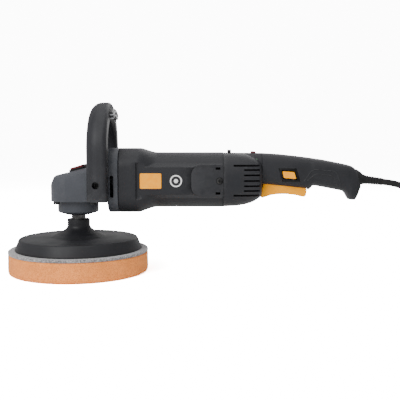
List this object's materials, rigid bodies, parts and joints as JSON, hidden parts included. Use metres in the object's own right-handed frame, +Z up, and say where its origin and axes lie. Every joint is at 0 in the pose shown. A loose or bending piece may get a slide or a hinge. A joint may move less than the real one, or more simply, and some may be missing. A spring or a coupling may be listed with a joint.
{
  "type": "rotary polisher",
  "caption": "Corded rotary polisher: round foam pad on a bevel-gear head, barrel motor, rear grip with paddle trigger, loop handle over the head, and a coiled mains lead.",
  "frame": {"origin": "middle of the foam pad's working face, on the spindle axis", "axes": "+Z up the spindle, away from the pad; +X along the motor towards the rear grip and the lead; +Y to the operator's right"},
  "size_m": [0.6435, 0.2134, 0.217],
  "materials": {
    "foam": "open-cell foam",
    "loop_felt": "speckled felt",
    "black_plastic": "fine moulded grain",
    "housing_plastic": "fine spark-eroded grain",
    "soft_grip": "soft matt overmould",
    "painted_casting": "grey satin paint",
    "steel": "machined",
    "black_steel": "black oxide",
    "laminations": "stacked sheet",
    "copper": "enamelled wire",
    "carbon": "graphite",
    "bronze": "sintered",
    "rubber": "matt",
    "cord_rubber": "matt sheath",
    "fan_nylon": "natural nylon",
    "circuit": "potted board",
    "yellow_plastic": "satin",
    "red_plastic": "satin",
    "plug_metal": "nickel plate"
  },
  "bodies": {
    "machine": {"lower_bearing": "steel", "bearing_retainer": "black_steel", "dust_seal": "rubber", "upper_bush": "bronze", "bearing_box": "painted_casting", "bearing_box_screws": "black_steel", "gear_housing": "painted_casting", "lock_spring": "steel", "lock_button_base": "black_plastic", "loop_handle": "housing_plastic", "handle_inlay": "soft_grip", "grip_insert": "black_plastic", "handle_bolts": "black_steel", "front_bearing": "steel", "front_bearing_plate": "steel", "fan_baffle": "black_plastic", "stator_core": "laminations", "field_coils": "copper", "rear_bearing": "steel", "rear_bearing_bush": "rubber", "motor_housing": "housing_plastic", "housing_screws": "steel", "brush_holders": "black_plastic", "carbon_brushes": "carbon", "brush_covers": "housing_plastic", "brush_cover_screws": "black_steel", "badge_plates": "yellow_plastic", "rear_housing_left": "housing_plastic", "rear_housing_right": "housing_plastic", "rear_housing_screws": "steel", "speed_controller": "circuit", "power_lamp": "red_plastic", "trigger_switch": "black_plastic", "trigger_pin": "steel", "trigger_spring": "steel", "lock_button_frame": "black_plastic", "strain_relief": "rubber", "cord_clamp": "black_plastic", "cord_lead": "cord_rubber", "cord_coil": "cord_rubber", "plug_body": "rubber", "plug_pins": "plug_metal"},
    "spindle_group": {"spindle": "black_steel", "bevel_wheel": "steel", "wheel_key_and_circlip": "steel", "threaded_insert": "steel", "backing_plate": "black_plastic", "loop_layer": "loop_felt", "foam_pad": "foam"},
    "armature_group": {"armature_shaft": "steel", "bevel_pinion": "steel", "cooling_fan": "fan_nylon", "armature_core": "laminations", "armature_windings": "copper", "commutator": "copper"},
    "paddle": {"trigger": "yellow_plastic"},
    "plunger": {"switch_plunger": "fan_nylon"},
    "lock_on": {"lock_on_button": "yellow_plastic"},
    "spindle_lock": {"spindle_lock_button": "red_plastic"},
    "dial": {"speed_dial": "black_plastic"}
  },
  "joints": [
    {"name": "spindle_spin", "type": "hinge", "parent": "machine", "child": "spindle_group", "pos_m": [0, 0, 0], "axis": [0, 0, 1], "continuous": true},
    {"name": "armature_spin", "type": "hinge", "parent": "machine", "child": "armature_group", "pos_m": [0, 0, 0.1185], "axis": [1, 0, 0], "continuous": true},
    {"name": "trigger_pull", "type": "hinge", "parent": "machine", "child": "paddle", "pos_m": [0.245, 0, 0.1185], "axis": [0, -1, 0], "range_deg": [0, 6], "stiffness_Nm_per_rad": 1, "springref_deg": -6.88, "deforming": ["trigger_spring"]},
    {"name": "plunger_slide", "type": "slide", "parent": "machine", "child": "plunger", "axis": [0, 0, 1], "range_m": [0, 0.0026]},
    {"name": "lock_on_press", "type": "slide", "parent": "machine", "child": "lock_on", "axis": [0, 1, 0], "range_m": [0, 0.003], "stiffness_N_per_m": 400, "springref_m": -0.002},
    {"name": "spindle_lock_press", "type": "slide", "parent": "machine", "child": "spindle_lock", "axis": [0, 0, -1], "range_m": [0, 0.004], "stiffness_N_per_m": 600, "springref_m": -0.004, "deforming": ["lock_spring"]},
    {"name": "speed_dial_turn", "type": "hinge", "parent": "machine", "child": "dial", "pos_m": [0.1927, 0, 0.1444], "axis": [1, 0, 0], "range_deg": [0, 270]}
  ],
  "couplings": [
    {"joint": "armature_spin", "follows": "spindle_spin", "ratio": 4.1111},
    {"joint": "plunger_slide", "follows": "trigger_pull", "m_per_rad": 0.023}
  ]
}
